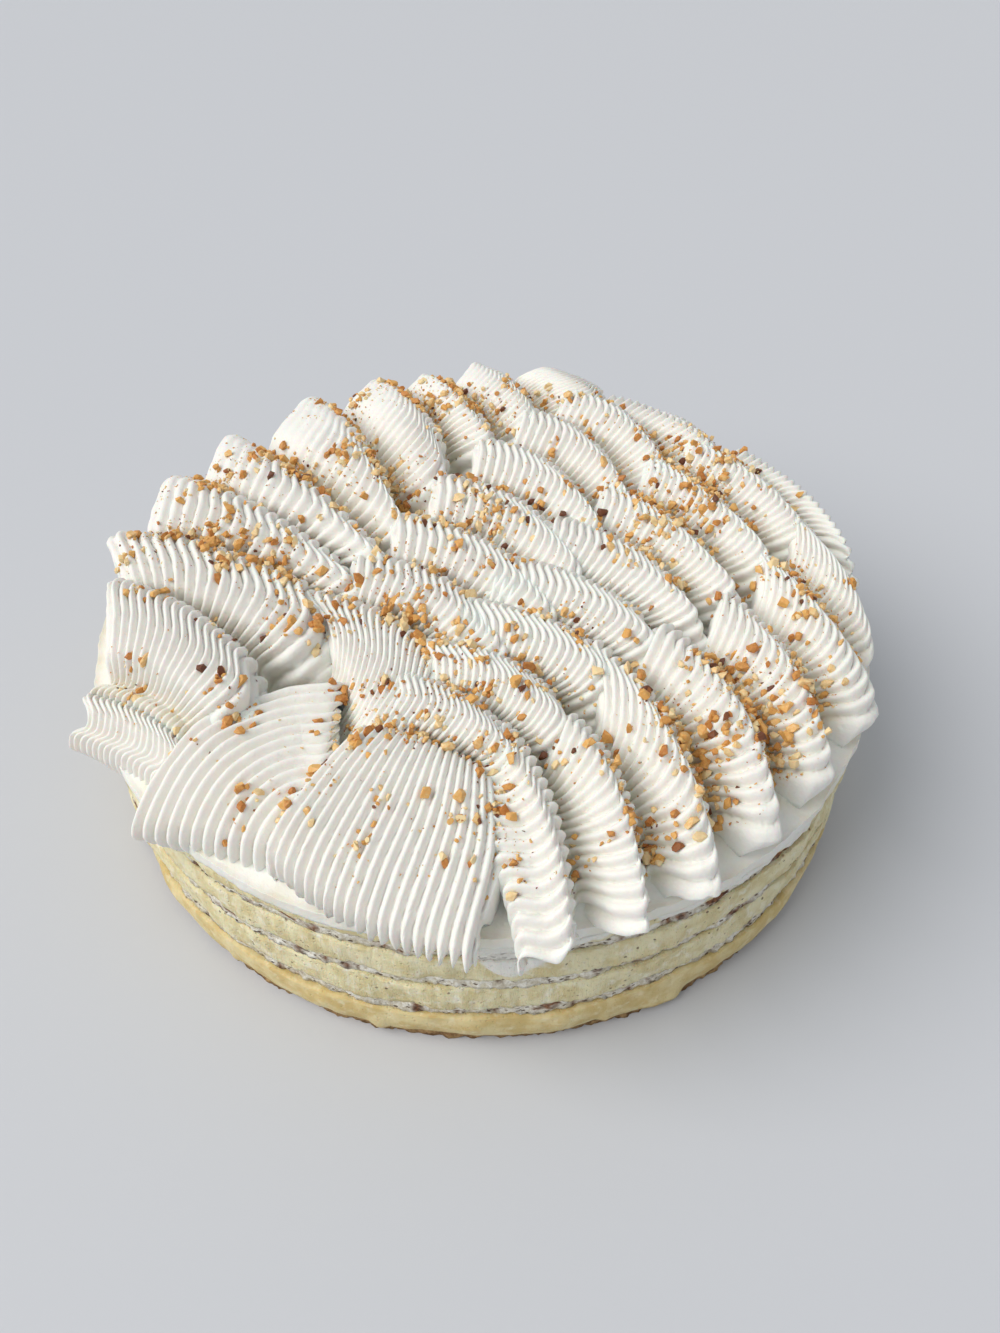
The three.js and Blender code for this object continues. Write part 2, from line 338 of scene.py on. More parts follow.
def slit_at(stroke, fold, drop=0.0):
    """Four points across the slit at the nose of a fold, or lower by a drop."""
    s = np.array([-0.5, -1 / 6, 1 / 6, 0.5])
    turn = math.radians(fold.turn)
    arch = 1 - 4 * s**2
    back = fold.bow * arch
    u = fold.u + s * fold.width * math.cos(turn) - back * math.sin(turn)
    v = fold.v + s * fold.width * math.sin(turn) + back * math.cos(turn)
    return sagged(stroke, np.stack([u, v, NOSE_HEIGHT + CROWN * arch - drop], 1))


def sweep_rows(stroke):
    """Slit positions of a stroke's end that turns about a point and drops over the edge."""
    sweep = stroke.sweep
    count = int(abs(sweep.stop - sweep.start) / SWEEP_STEP) + 1
    radii = np.linspace(sweep.outer, sweep.inner, 4)
    for along in np.linspace(0, 1, count):
        angle = math.radians(sweep.start + (sweep.stop - sweep.start) * along)
        left, right = (low + (high - low) * along**2 for low, high in (sweep.left, sweep.right))
        u = sweep.u + radii * math.cos(angle)
        v = sweep.v + radii * math.sin(angle)
        z = NOSE_HEIGHT - np.linspace(left, right, 4)
        yield ("S", sweep.ribs, sagged(stroke, np.stack([u, v, z], 1)))


def tail_rows(stroke):
    """The last slit positions of a stroke, dropping evenly to its torn end."""
    for step, fold in enumerate(stroke.tail, 1):
        yield ("S", 1.0, slit_at(stroke, fold, stroke.torn_drop * step / len(stroke.tail)))


def stroke_rows(stroke, fold_depth):
    """Slit positions of a stroke: kind, share of the ribs and four points.

    The kinds are N for the nose of a fold, T for its top, S for its shoulder and V for the valley.
    """
    noses = [slit_at(stroke, fold) for fold in stroke.folds]
    end = list(sweep_rows(stroke) if stroke.sweep else tail_rows(stroke))
    torn = end[0][2]
    rows = []
    for nose, ahead in zip(noses, [*noses[1:], torn]):
        drawn_in = 0.0 if ahead is torn else stroke.drawn_in
        for kind, along, swing, pinch, rise in FOLD_SHAPE:
            place = nose * (1 - along) + ahead * along
            level = np.minimum(nose[:, 2], ahead[:, 2] + STEP_DOWN) * (1 - along) + ahead[:, 2] * along
            level += -fold_depth if rise is None else rise
            level += sag_at(stroke, place)
            place[:, :2] += (place[:, :2].mean(axis=0) - place[:, :2]) * pinch * drawn_in
            place[:, 2] = level - sag_at(stroke, place)
            place[:, 0] += swing
            rows.append((kind, 1.0, place))
    if len(end) == 1:
        rows.pop()
    lip = end[-1][2].copy()
    lip[:, :2] *= 1 + LIP_OUT / np.hypot(lip[:, 0], lip[:, 1])[:, None]
    lip[:, 2] -= LIP_DROP
    return rows + end + [("S", end[-1][1], lip)]


def slit_run(table):
    """All slit positions of a stroke, with the hidden walls under the noses of the folds put in.

    A row holds four points across the slit, the share of the ribs and how deep in a valley it lies, for the
    painted shade.
    """
    rows, before = [], None
    for kind, share, here in table:
        if kind == "N":
            low = before if before is not None else here + START
            for along, back, climb in NOSE_WALL:
                row = low * (1 - along) + here * along
                row[:, 1] = np.minimum(row[:, 1], here[:, 1] + WALL_REACH) - back
                row[:, 2] = low[:, 2] * (1 - climb) + here[:, 2] * climb
                rows.append([*row.ravel(), share, 1 - max(climb, 0)])
        rows.append([*here.ravel(), share, DEPTH_OF[kind]])
        if kind == "N":
            rows.append([*(here + BROW).ravel(), share, 0.0])
        before = here
    return np.array(rows)


def slit_points(rows):
    """The four points across the slit of each row."""
    return rows[:, :12].reshape(len(rows), 4, 3)


def curve_through(points, count):
    """Even run of count rows on a smooth curve through the points, and its length."""
    gap = np.linalg.norm(np.diff(slit_points(points), axis=0), axis=2).mean(axis=1) ** KNOT_POWER
    knots = np.concatenate([[0], np.cumsum(gap)])
    slope = np.diff(points, axis=0) / gap[:, None]
    inner = (slope[:-1] * gap[1:, None] + slope[1:] * gap[:-1, None]) / (gap[:-1] + gap[1:])[:, None]
    tangent = np.vstack([slope[:1], inner, slope[-1:]])
    x = np.linspace(0, knots[-1], count * 4)
    i = np.clip(np.searchsorted(knots, x, side="right") - 1, 0, len(gap) - 1)
    f = ((x - knots[i]) / gap[i])[:, None]
    h = gap[i][:, None]
    out = points[i] * (1 + 2 * f) * (1 - f) ** 2 + tangent[i] * h * f * (1 - f) ** 2
    out = out + points[i + 1] * f**2 * (3 - 2 * f) - tangent[i + 1] * h * f**2 * (1 - f)
    step = np.linalg.norm(np.diff(slit_points(out), axis=0), axis=2).mean(axis=1)
    length = np.concatenate([[0], np.cumsum(step)])
    even = np.linspace(0, length[-1], count)
    return np.stack([np.interp(even, length, column) for column in out.T], axis=1), length[-1]


def across(s):
    """Shares of the four slit points at s: a smooth curve through them, straight on beyond both ends."""
    c = np.clip(s, 0, 1)
    nodes = np.array([0, 1 / 3, 2 / 3, 1])
    share = np.ones((4, len(s)))
    for a in range(4):
        for b in range(4):
            if b != a:
                share[a] *= (c - nodes[b]) / (nodes[a] - nodes[b])
    past, short = np.maximum(s - 1, 0) * 3, np.minimum(s, 0) * 3
    return share + np.stack([-short, short, -past, past])


def rounding(share):
    """Drop of a quarter round whose edge is at share 1, from 0 to 1."""
    return 1 - np.sqrt(np.clip(1 - np.clip(share, 0, 1) ** 2, 0, 1))


class Ribbon:
    """One stroke of piping as a surface over s, across the slit, and t, along the stroke."""

    def __init__(self, name, sizes):
        self.name = name
        self.stroke = STROKES[name]
        self.rib_height = sizes.rib_height
        rows = stroke_rows(self.stroke, sizes.fold_depth / MM)
        self.run, self.length = curve_through(slit_run(rows), RUN_ROWS)
        span = int(len(self.run) * BED_SPAN / self.length)
        before = [self.run[:1]] * (span // 2)
        after = [self.run[-1:]] * (span - span // 2 - 1)
        padded = np.vstack([*before, self.run, *after])
        total = np.cumsum(np.vstack([0 * padded[:1], padded]), axis=0)
        self.bed = (total[span:] - total[:-span]) / span
        pieces = np.diff(slit_points(self.run), axis=1)
        self.width = float(np.linalg.norm(pieces, axis=2).sum(axis=1).mean())

    def rows_at(self, table, t):
        at = np.clip(t, 0, 1) * (len(table) - 1)
        i = np.minimum(at.astype(int), len(table) - 2)
        f = (at - i)[:, None]
        return table[i] * (1 - f) + table[i + 1] * f

    def edge_drop(self, t, inside):
        """How far the rounded end of the slit lies below it, inside being the way in from its edge."""
        share = np.clip(1 - inside * self.width / EDGE_WIDTH, 0, 1)
        drop = EDGE_DROP * (1 - EDGE_EASED * smooth(t, *TORN_SPAN))
        return drop * (1 - np.sqrt(1 - EDGE_STEEP * share**2))

    def base(self, s, t, table=None):
        """Plan place and height of the plain ribbon, its share of the ribs and how deep in a valley it lies,
        for painted shade.
        """
        row = self.rows_at(self.run if table is None else table, t)
        share = across(s)
        p = np.stack([(share * row[:, k:12:3].T).sum(axis=0) for k in range(3)], axis=1)
        p[:, 2] -= self.edge_drop(t, s + self.stroke.start_edge)
        if self.stroke.tuck:
            p[:, 2] -= TUCK_DROP * smooth((s - 1) * self.width, *TUCK_SPAN)
        else:
            p[:, 2] -= self.edge_drop(t, 1 - s)
        return p, row[:, 12], row[:, 13]

    def ribs_left(self, p):
        """How much of the ribs a smear has left at the points p, from 0 to 1."""
        if not self.stroke.smeared:
            return np.ones(len(p))
        clean = smooth(p[:, 0] + waves(p, SMEAR_RAGGED), *self.stroke.smeared)
        return SMEAR_LEFT + (1 - SMEAR_LEFT) * clean

    def surface(self, s, t):
        """Finished upper surface with its ribs, and how deep each place lies in their grooves and in a valley,
        for painted shade.
        """
        d = SLOPE_LENGTH / self.length
        s = s + waves(np.stack([s * self.width, t * self.length, 0 * t], 1), RIB_SWAY)
        p, part, deep = self.base(s, t)
        rib = self.ribs_left(p)
        ahead = self.base(s, t + d)[0] - self.base(s, t - d)[0]
        side = self.base(s + SLOPE_SHARE, t)[0] - self.base(s - SLOPE_SHARE, t)[0]
        side[:, 2] *= SIDE_SLOPE
        normal = np.cross(ahead, side)
        size = np.linalg.norm(normal, axis=1)
        spread = size / np.maximum(np.linalg.norm(ahead, axis=1) * np.linalg.norm(side, axis=1), 1e-9)
        normal /= np.maximum(size, 1e-9)[:, None]
        count = part * self.stroke.ribs
        ridge = np.abs(np.cos(math.pi * s * count)) ** RIB_POWER
        pitch = np.linalg.norm(side, axis=1) / (2 * SLOPE_SHARE) / count
        rib_share = rib * np.clip(spread * SQUEEZE, LEAST_RIB, 1)
        height = self.rib_height * np.minimum(pitch, WIDEST_PITCH) * rib_share
        p = p + normal * (height * (ridge - RIB_MIDDLE) + waves(p, CREAM_WAVES))[:, None]
        return p, (1 - ridge) * rib, deep


def ribbon_grids(columns, rows):
    """A closed box of two flat grids, the upper one at z = 1, joined around their edges."""
    bm = bmesh.new()
    bmesh.ops.create_grid(bm, x_segments=columns, y_segments=rows, size=1)
    bmesh.ops.translate(bm, verts=bm.verts[:], vec=(0, 0, 1))
    coarse_x, coarse_y = UNDER_COARSE
    bmesh.ops.create_grid(bm, x_segments=columns // coarse_x, y_segments=rows // coarse_y, size=1)
    bmesh.ops.bridge_loops(bm, edges=[e for e in bm.edges if e.is_boundary])
    bmesh.ops.recalc_face_normals(bm, faces=bm.faces[:])
    return bm


def pulled_in(x, y, radius):
    """The places x, y, drawn in to a radius where they lie outside it."""
    reach = np.hypot(x, y)
    pull = np.where(reach > radius, radius / np.maximum(reach, 1), 1)
    return x * pull, y * pull


def ribbon_mesh(ribbon, material):
    """Closed skin of a stroke: ribbed upper side, rounded flanks, underside tucked against the cake."""
    stroke = ribbon.stroke
    columns = stroke.ribs * RIB_COLUMNS + FLANK_COLUMNS
    bm = ribbon_grids(columns, min(int(ribbon.length / ROW_STEP), MOST_FACES // columns))
    piece = finish_piece(cream_name(ribbon.name), bm, material, [ribbon.name])
    co = corners(piece.data)
    x, t, top = co[:, 0], (1 - co[:, 1]) / 2, co[:, 2] > 0.5
    reach = 1 - FLANK_COLUMNS / columns
    tuck = stroke.tuck * (1 - stroke.short_tuck * smooth(t, *TUCK_END))
    start = stroke.start_edge * (1 - smooth(t, *EDGE_END))
    s = (np.clip(x / reach, -1, 1) + 1) / 2 * (1 + tuck + start) - start
    flank = np.clip((np.abs(x) - reach) / (1 - reach), 0, 1)
    tooth = 0.0
    if stroke.toothed:
        teeth = np.abs(np.sin(math.pi * s * stroke.ribs)) ** TOOTH_POWER
        tooth = TOOTH_LENGTH / ribbon.length * teeth * smooth(t, *TEETH_SPAN)
    p, groove, deep = ribbon.surface(s, t - tooth)
    low = ribbon.base(s, t, ribbon.bed)[0]
    ux, uy = to_cake(p[:, 0], p[:, 1])
    skin = np.stack([ux, uy, p[:, 2]], 1)
    level = np.minimum(COAT_TOP - UNDER_SUNK, p[:, 2] - RIBBON_THICK)
    under = np.stack([*pulled_in(*to_cake(low[:, 0], low[:, 1]), UNDER_RADIUS), level], 1)
    hang = FLANK_LEAST * smooth(t, *FLANK_START) * (1 - smooth(t, *TORN_SPAN))
    level = np.minimum(np.maximum(p[:, 2] - FLANK_DEPTH, COAT_TOP - FLANK_SUNK), p[:, 2] - hang)
    foot = np.stack([*pulled_in(ux, uy, FLANK_RADIUS), level], 1)
    swell = FLANK_SWELL * np.sin(flank * math.pi * FLANK_ROUND)
    ox, oy = to_cake(np.sign(x) * swell, 0 * swell)
    wall = skin + (foot - skin) * (flank**FLANK_POWER)[:, None] + np.stack([ox, oy, 0 * ox], 1)
    skin = np.where((flank > 0)[:, None], wall, skin)
    ends = np.maximum(
        rounding((t - 1) * ribbon.length / END_LENGTH + 1),
        rounding(1 - t * ribbon.length / END_LENGTH),
    )
    skin = skin + (under - skin) * (ends * stroke.end_drop)[:, None]
    set_corners(piece.data, np.where(top[:, None], skin, under) * MM)
    # Painted shade: darker, warmer cream deep in the grooves between the ribs, in the valleys between the folds
    # and on the underside.
    painted_shade = np.clip(GROOVE_SHADE * groove + VALLEY_SHADE * deep, 0, 1)
    paint(piece.data, "painted_shade", np.where(top, painted_shade, UNDER_SHADE))
    return piece


# ---------- layers
LAYERS = ["nut_base", "deep_custard"]
LAYERS += [f"{kind}_{n}" for n in (1, 2, 3) for kind in ("nut_layer", "pale_custard")]
SEGMENTS = 840
LAYER_ROW, FEWEST_ROWS, COAT_ROWS = 0.85, 3, 10
CAP_RINGS = (1.0, 8.0)
# Half the gap that the CAD leaves between two layers.
HALF_GAP = 0.15
# A layer is rough only within these distances of its edge. For each kind: its bulge, then three
# grades of roughness, each with its depth, width and height.
ROUGH_FROM, ROUGH_FULL = 3.0, 1.5
ROUGH = {
    "nut_base": (0.0, (0.5, 3.4, 3.4), (0.5, 1.5, 1.3), (0.3, 0.8, 0.8)),
    "deep_custard": (0.5, (0.8, 11.0, 9.0), (0.28, 3.2, 5.0), (0.10, 1.1, 1.4)),
    "nut_layer": (-0.2, (0.6, 6.0, 5.0), (0.55, 1.9, 1.4), (0.28, 0.9, 0.8)),
    "pale_custard": (0.3, (0.7, 10.0, 7.0), (0.34, 1.3, 7.0), (0.20, 1.0, 1.1)),
}
# The pale custard was scraped aslant: its roughness climbs by this share of the way across.
SCRAPE_SLANT = 0.35
# The deep custard bulges or falls back towards its foot; the base is crumbled away in places.
FOOT_BULGE, FOOT_WAVES, FOOT_SPAN = (1.6, 0.8), ((9.0, 61, 1.0),), (0.25, 0.8)
CRUMBLED, CRUMBLED_WAVES, CRUMBLED_SPAN = 1.2, ((12.0, 62, 1.0),), (-0.1, 0.6)
# Seams between layers wander by noise of these sizes, seeds and heights, the lowest one less.
SEAM_WAVES = ((17.0, 31, 0.75), (5.0, 32, 0.55), (1.7, 33, 0.25))
LOWEST_SEAM, LOWEST_SHARE = 5.0, 0.5
# Cream from the coat is spread down to SMEAR_FOOT, and lower round these places: azimuth from the
# front and half width in degrees, and how much lower.
SMEAR_FOOT, SMEAR_EDGE = 51.0, 0.8
SMEARS = ((38, 17, 5.5), (5, 5.5, 15.0), (-150, 40, 3.0), (120, 25, 4.0))
# Its edge is ragged: drawn-out waves and fine ones.
SMEAR_LONG, SMEAR_FINE = ((6.0, 41, 3.0),), ((2.0, 42, 0.96),)
# Where cream is smeared, a layer's outline is calmer and stands a little proud.
SMEAR_CALM, SMEAR_THICK = 0.5, 0.35
# Browned crust: azimuth from the front, height, half width in degrees and half height.
CRUST_PATCHES = (
    (16, 38.0, 2.6, 2.2), (31, 45.5, 2.0, 1.6), (44, 45.0, 5.0, 2.4),
    (-34, 31.0, 1.3, 1.2), (-24, 45.0, 1.6, 1.0), (-100, 44.0, 4.0, 2.0),
    (130, 31.0, 5.0, 2.0), (-160, 45.0, 6.0, 2.2), (85, 17.0, 3.0, 1.8),
)
CRUST_LEVEL, CRUST_WAVES, CRUST_EDGE = 1.15, ((2.6, 91, 0.35), (1.1, 92, 0.2)), (0.05, 0.35)
# The rim of the coat is rounded off, and its side is uneven and drawn in towards the top.
RIM_ROUND, RIM_WIDTH, RIM_FROM = 2.6, 4.0, 0.55
COAT_LEAN, COAT_LEAN_FROM, COAT_PROUD = 1.8, 0.75, 0.25
COAT_TOP_WAVES, COAT_SIDE_WAVES, COAT_FINE_WAVES = ((7.0, 71, 0.35),), ((9.0, 72, 0.5),), ((2.2, 73, 0.25),)


def kind_of(layer):
    """The kind of a layer, which is its name without its number."""
    return layer.rstrip("_123")


def azimuth_of(x, y):
    """Degrees round the cake from its front."""
    return np.degrees(np.arctan2(x, -y))


def seam_wave(x, y, height):
    """How far the seam between two layers wanders up or down, the same for both of them."""
    p = np.stack([x, y, np.full(len(x), height * 7.0)], 1)
    share = LOWEST_SHARE if height < LOWEST_SEAM else 1.0
    return share * waves(p, SEAM_WAVES)


def smear_amount(x, y, z):
    """Where white cream from the coat is spread over the side, from 0 to 1."""
    azimuth = azimuth_of(x, y)
    p = np.stack([x, y, z], 1)
    ragged = waves(p * np.array([1, 1, 0.6]), SMEAR_LONG) + waves(p, SMEAR_FINE)
    foot = SMEAR_FOOT - sum(deep * np.exp(-(((azimuth - at) / wide) ** 2)) for at, wide, deep in SMEARS)
    return smooth(z + ragged, foot - SMEAR_EDGE, foot + SMEAR_EDGE)


def crust_amount(x, y, z):
    """Patches of browned crust at the side of the nut layers, from 0 to 1."""
    azimuth = azimuth_of(x, y)
    inside = 0 * x
    for centre, height, wide, tall in CRUST_PATCHES:
        away = np.hypot((azimuth - centre) / wide, (z - height) / tall)
        inside = np.maximum(inside, CRUST_LEVEL - away)
    return smooth(inside + waves(np.stack([x, y, z], 1), CRUST_WAVES), *CRUST_EDGE)


def drum(radius, low, high, rows):
    """A closed upright drum with rows of faces up its side and rings on its ends, in metres."""
    bm = bmesh.new()
    shape = {"segments": SEGMENTS, "radius1": radius, "radius2": radius, "depth": high - low}
    bmesh.ops.create_cone(bm, cap_ends=True, **shape)
    bmesh.ops.translate(bm, verts=bm.verts[:], vec=(0, 0, (low + high) / 2))
    upright = [e for e in bm.edges if abs(e.verts[0].co.z - e.verts[1].co.z) > 0.1]
    bmesh.ops.subdivide_edges(bm, edges=upright, cuts=rows - 1, use_grid_fill=True)
    for thick in CAP_RINGS:
        caps = [f for f in bm.faces if len(f.verts) > 4]
        bmesh.ops.inset_region(bm, faces=caps, thickness=thick, use_even_offset=True)
    bmesh.ops.poke(bm, faces=[f for f in bm.faces if len(f.verts) > 4])
    bmesh.ops.scale(bm, verts=bm.verts[:], vec=(MM, MM, MM))
    return bm


def reshape(mesh, radius, out, z):
    """Moves the corners near a layer's edge out from its axis, and sets all heights."""
    x, y = corners(mesh)[:, :2].T / MM
    around = np.maximum(np.hypot(x, y), 1)
    grow = 1 + out * smooth(around, radius - ROUGH_FROM, radius - ROUGH_FULL) / around
    set_corners(mesh, np.stack([x * grow, y * grow, z], 1) * MM)


def rough_outline(kind, x, y, z, share):
    """How far the side of a layer stands out, share being the way up it from 0 to 1."""
    bulge, *grades = ROUGH[kind]
    out = bulge * np.sin(np.clip(share, 0, 1) * math.pi)
    slant = SCRAPE_SLANT * x if kind == "pale_custard" else 0 * x
    for i, (depth, width, height) in enumerate(grades):
        p = np.stack([x / width, y / width, (z + slant) / height], 1)
        out = out + depth * value_noise(p, 1.0, 50 + i + 7 * len(kind))
    plan = np.stack([x, y, 0 * x], 1)
    if kind == "deep_custard":
        most, back = FOOT_BULGE
        out = out + (most * smooth(waves(plan, FOOT_WAVES), *FOOT_SPAN) - back) * (1 - share) ** 2
    if kind == "nut_base":
        out = out - CRUMBLED * smooth(waves(plan, CRUMBLED_WAVES), *CRUMBLED_SPAN)
    return out


def layer_piece(name, material):
    """One layer of the cake: its sides scraped and uneven, its seams wandering with its neighbours'."""
    low, high = (np.array(corner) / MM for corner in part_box(name))
    radius = (high[0] - low[0]) / 2
    tall = high[2] - low[2]
    kind = kind_of(name)
    bm = drum(radius, low[2], high[2], max(FEWEST_ROWS, int(tall / LAYER_ROW)))
    piece = finish_piece(name + "_food", bm, material, [name])
    x, y, z = corners(piece.data).T / MM
    share = (z - low[2]) / tall
    foot_wave = seam_wave(x, y, low[2] - HALF_GAP) if low[2] > 1 else 0 * x
    level = z + foot_wave * (1 - share) + seam_wave(x, y, high[2] + HALF_GAP) * share
    smear = smear_amount(x, y, level)
    out = rough_outline(kind, x, y, z, share) * (1 - SMEAR_CALM * smear) + SMEAR_THICK * smear
    reshape(piece.data, radius, out, level)
    paint(piece.data, "smear", smear)
    if kind == "nut_layer":
        paint(piece.data, "crust", crust_amount(x, y, level))
    return piece


def coat_piece(material):
    """The spread coat of cream under the piping, drawn down over the rim where a knife dragged it."""
    low, high = (np.array(corner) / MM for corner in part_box("cream_coat"))
    radius = (high[0] - low[0]) / 2
    bm = drum(radius, low[2], high[2], COAT_ROWS)
    piece = finish_piece("spread_cream", bm, material, ["cream_coat"])
    x, y, z = corners(piece.data).T / MM
    share = (z - low[2]) / (high[2] - low[2])
    p = np.stack([x, y, z], 1)
    rim = RIM_ROUND * smooth(np.hypot(x, y), radius - RIM_WIDTH, radius) * smooth(share, RIM_FROM, 1.0)
    level = z + seam_wave(x, y, low[2] - HALF_GAP) * (1 - share) - rim * share
    level = level + waves(p * np.array([1, 1, 0.3]), COAT_TOP_WAVES) * share
    out = waves(p, COAT_SIDE_WAVES) + waves(p * np.array([1, 1, 0.4]), COAT_FINE_WAVES)
    out = out + COAT_PROUD - COAT_LEAN * smooth(share, COAT_LEAN_FROM, 1.0)
    reshape(piece.data, radius, out, level)
    return piece


# ---------- nuts
# Nuts roll down: the scatter is thickest where the cream lies lower than it does around there.
HEIGHT_STEP = 1.25
AROUND = 9.0
DROP_START, DROP_FULL = -0.4, 4.5
RIM_CLEAR = (108.0, 118.0)
LOWEST_NUT = COAT_TOP + 1.5
# They also lie in patches, with some left in hollows outside them and a few strewn anywhere.
PATCH_WAVES, PATCH_SPAN = ((24.0, 81, 1.0), (9.0, 82, 0.6)), (-0.3, 0.7)
HOLLOW_POWER, OUTSIDE_PATCHES, STREWN_IN_PATCHES, STREWN = 1.6, 0.08, 0.05, 0.006
# A heap has one nut and on average HEAP_MORE others, about HEAP_SPREAD away from it.
HEAP_MORE, HEAP_SPREAD = 4.5, 2.5
# The larger this is, the more of the nuts are small.
SMALL_POWER = 1.8
# Tones from pale to brown, and those of the dark skins among them.
COMMON_TONE, DARK_TONE = 0.72, (0.85, 1.0)
# The share of its size that a nut lies above the cream, its least way up, and how far it may tilt.
NUT_LIFT, LEAST_UP, MOST_TILT = 0.16, 0.2, 1.1
# Nuts fall from this height, in metres.
FALL_FROM = 0.12
# A chip is squashed; the corners of its shape lie this far from its middle. It is then
# stretched by a random share along its length and across.
SQUASHED = np.array([1.0, 1.0, 0.72])
CORNER_NEAR, CORNER_MORE = 0.38, 0.12
CHIP_LONG, CHIP_WIDE = (0.85, 1.35), (0.7, 1.1)
NUT_SEED = 20
# The share of dark skins, and the number of shapes with the points that each has.
NUT_DARK, NUT_SHAPES = 0.05, (14, 14)
CRUMB_DARK, CRUMB_SHAPES = 0.08, (8, 7)


class Ground:
    """Height of the cream on an even grid, and how readily nuts gather at each place."""

    def __init__(self, tree):
        reach = CAKE_RADIUS + 4
        self.count = int(2 * reach / HEIGHT_STEP) + 1
        self.line = np.linspace(-reach, reach, self.count)
        self.step = self.line[1] - self.line[0]
        hits = [rest_on(tree, x, y)[0] for x in self.line for y in self.line]
        heights = np.array([hit.z / MM if hit else 0 for hit in hits])
        self.height = heights.reshape(self.count, self.count)
        level = self.spread(np.where(self.height > 1, self.height, COAT_TOP), AROUND)
        low = smooth(level - self.height, DROP_START, DROP_FULL)
        x, y = (grid.ravel() for grid in np.meshgrid(self.line, self.line, indexing="ij"))
        place = np.stack([x, y, 0 * x], 1)
        patch = smooth(waves(place, PATCH_WAVES), *PATCH_SPAN)
        inside = 1 - smooth(np.hypot(x, y), *RIM_CLEAR)
        gathered = low.ravel() ** HOLLOW_POWER * (OUTSIDE_PATCHES + (1 - OUTSIDE_PATCHES) * patch)
        share = (gathered + STREWN_IN_PATCHES * patch + STREWN) * inside
        share[self.height.ravel() < LOWEST_NUT] = 0
        self.odds = np.cumsum(share) / share.sum()

    def spread(self, grid, width):
        """The grid averaged over about width millimetres."""
        reach = int(width / self.step)
        weight = np.hanning(2 * reach + 3)[1:-1]
        weight /= weight.sum()

        def even_out(line):
            return np.convolve(np.pad(line, reach, "edge"), weight, "valid")

        return np.apply_along_axis(even_out, 1, np.apply_along_axis(even_out, 0, grid))

    def pick(self, rng):
        """A place on the grid, drawn by its share of the nuts."""
        i, j = divmod(int(np.searchsorted(self.odds, rng.random())), self.count)
        return self.line[min(i, self.count - 1)], self.line[j]


def chips(rng, shape_count, points):
    """A few chopped shapes, each the hull of random points in a squashed ball one unit across."""
    shapes = []
    for _ in range(shape_count):
        bm = bmesh.new()
        for _ in range(points):
            d = rng.normal(size=3)
            d *= (CORNER_NEAR + CORNER_MORE * rng.random()) / np.linalg.norm(d)
            bm.verts.new(d * SQUASHED)
        hull = bmesh.ops.convex_hull(bm, input=bm.verts[:])
        unused = hull["geom_interior"] + hull["geom_unused"]
        spare = {item for item in unused if isinstance(item, bmesh.types.BMVert)}
        bmesh.ops.delete(bm, geom=list(spare), context="VERTS")
        bmesh.ops.recalc_face_normals(bm, faces=bm.faces[:])
        shapes.append(new_mesh("chip", bm))
    return shapes


def scatter_piece(name, shapes, rng, places, material):
    """Sets a chip at each place (point, way up, size, tone), all joined in one piece."""
    outlines = [(corners(shape), [list(face.vertices) for face in shape.polygons]) for shape in shapes]
    points, faces, tones = [], [], []
    total = 0
    for place, up, size, tone in places:
        shape, sides = outlines[rng.integers(len(outlines))]
        spin = Matrix.Rotation(rng.random() * math.tau, 3, "Z")
        tilt = Matrix.Rotation((rng.random() - 0.5) * MOST_TILT, 3, "X")
        turn = np.array(up.to_track_quat("Z", "X").to_matrix() @ spin @ tilt)
        stretch = size * np.array([rng.uniform(*CHIP_LONG), rng.uniform(*CHIP_WIDE), 1.0])
        points.append((shape * stretch) @ turn.T + np.array(place))
        faces += [[corner + total for corner in side] for side in sides]
        tones += [tone] * len(shape)
        total += len(shape)
    mesh = bpy.data.meshes.new("joined_chips")
    mesh.from_pydata(np.concatenate(points).tolist(), [], faces)
    bm = bmesh.new()
    bm.from_mesh(mesh)
    piece = finish_piece(name, bm, material, smooth_faces=False)
    paint(piece.data, "tone", tones)
    for spare in [mesh, *shapes]:
        bpy.data.meshes.remove(spare)
    return piece


def cream_tree(pieces):
    """One search tree over the cream, for resting nuts on it."""
    bm = bmesh.new()
    for piece in pieces:
        bm.from_mesh(piece.data)
    tree = BVHTree.FromBMesh(bm)
    bm.free()
    return tree


def rest_on(tree, x, y):
    """Where something dropped at x, y comes to lie."""
    return tree.ray_cast(Vector((x * MM, y * MM, FALL_FROM)), Vector((0, 0, -1)))[:2]


def nut_places(rng, tree, ground, count, smallest, largest, dark_share):
    """Places for nuts, with sizes in metres: heaps in the hollows, with a few left higher up."""
    places = []
    while len(places) < count:
        x, y = ground.pick(rng)
        for _ in range(1 + rng.poisson(HEAP_MORE)):
            px, py = x + rng.normal() * HEAP_SPREAD, y + rng.normal() * HEAP_SPREAD
            hit, up = rest_on(tree, px, py)
            if hit is None or hit.z < LOWEST_NUT * MM:
                continue
            size = smallest + (largest - smallest) * rng.random() ** SMALL_POWER
            tone = rng.uniform(0, COMMON_TONE) if rng.random() > dark_share else rng.uniform(*DARK_TONE)
            if up.z < LEAST_UP:
                up = Vector((up.x, up.y, LEAST_UP)).normalized()
            places.append((hit + up * size * NUT_LIFT, up, size, tone))
    return places[:count]


# ---------- shader maths
def maths(operation, swap=False):
    """A method that adds a maths node between a Maths value and another value."""

    def method(self, other):
        values = [other, self] if swap else [self, other]
        return node(self.tree, "ShaderNodeMath", {"operation": operation}, dict(enumerate(values)))

    return method


class Maths:
    """Shader maths as plain expressions: wraps a socket of a material's node tree."""

    __add__ = __radd__ = maths("ADD")
    __mul__ = maths("MULTIPLY")
    __sub__ = maths("SUBTRACT")
    __rsub__ = maths("SUBTRACT", swap=True)

    def __init__(self, tree, socket):
        self.tree = tree
        self.socket = socket

    def above(self, low, high):
        """0 under low, 1 over high, smooth between."""
        limits = {"Value": self, "From Min": low, "From Max": high}
        return node(self.tree, "ShaderNodeMapRange", {"interpolation_type": "SMOOTHSTEP"}, limits)


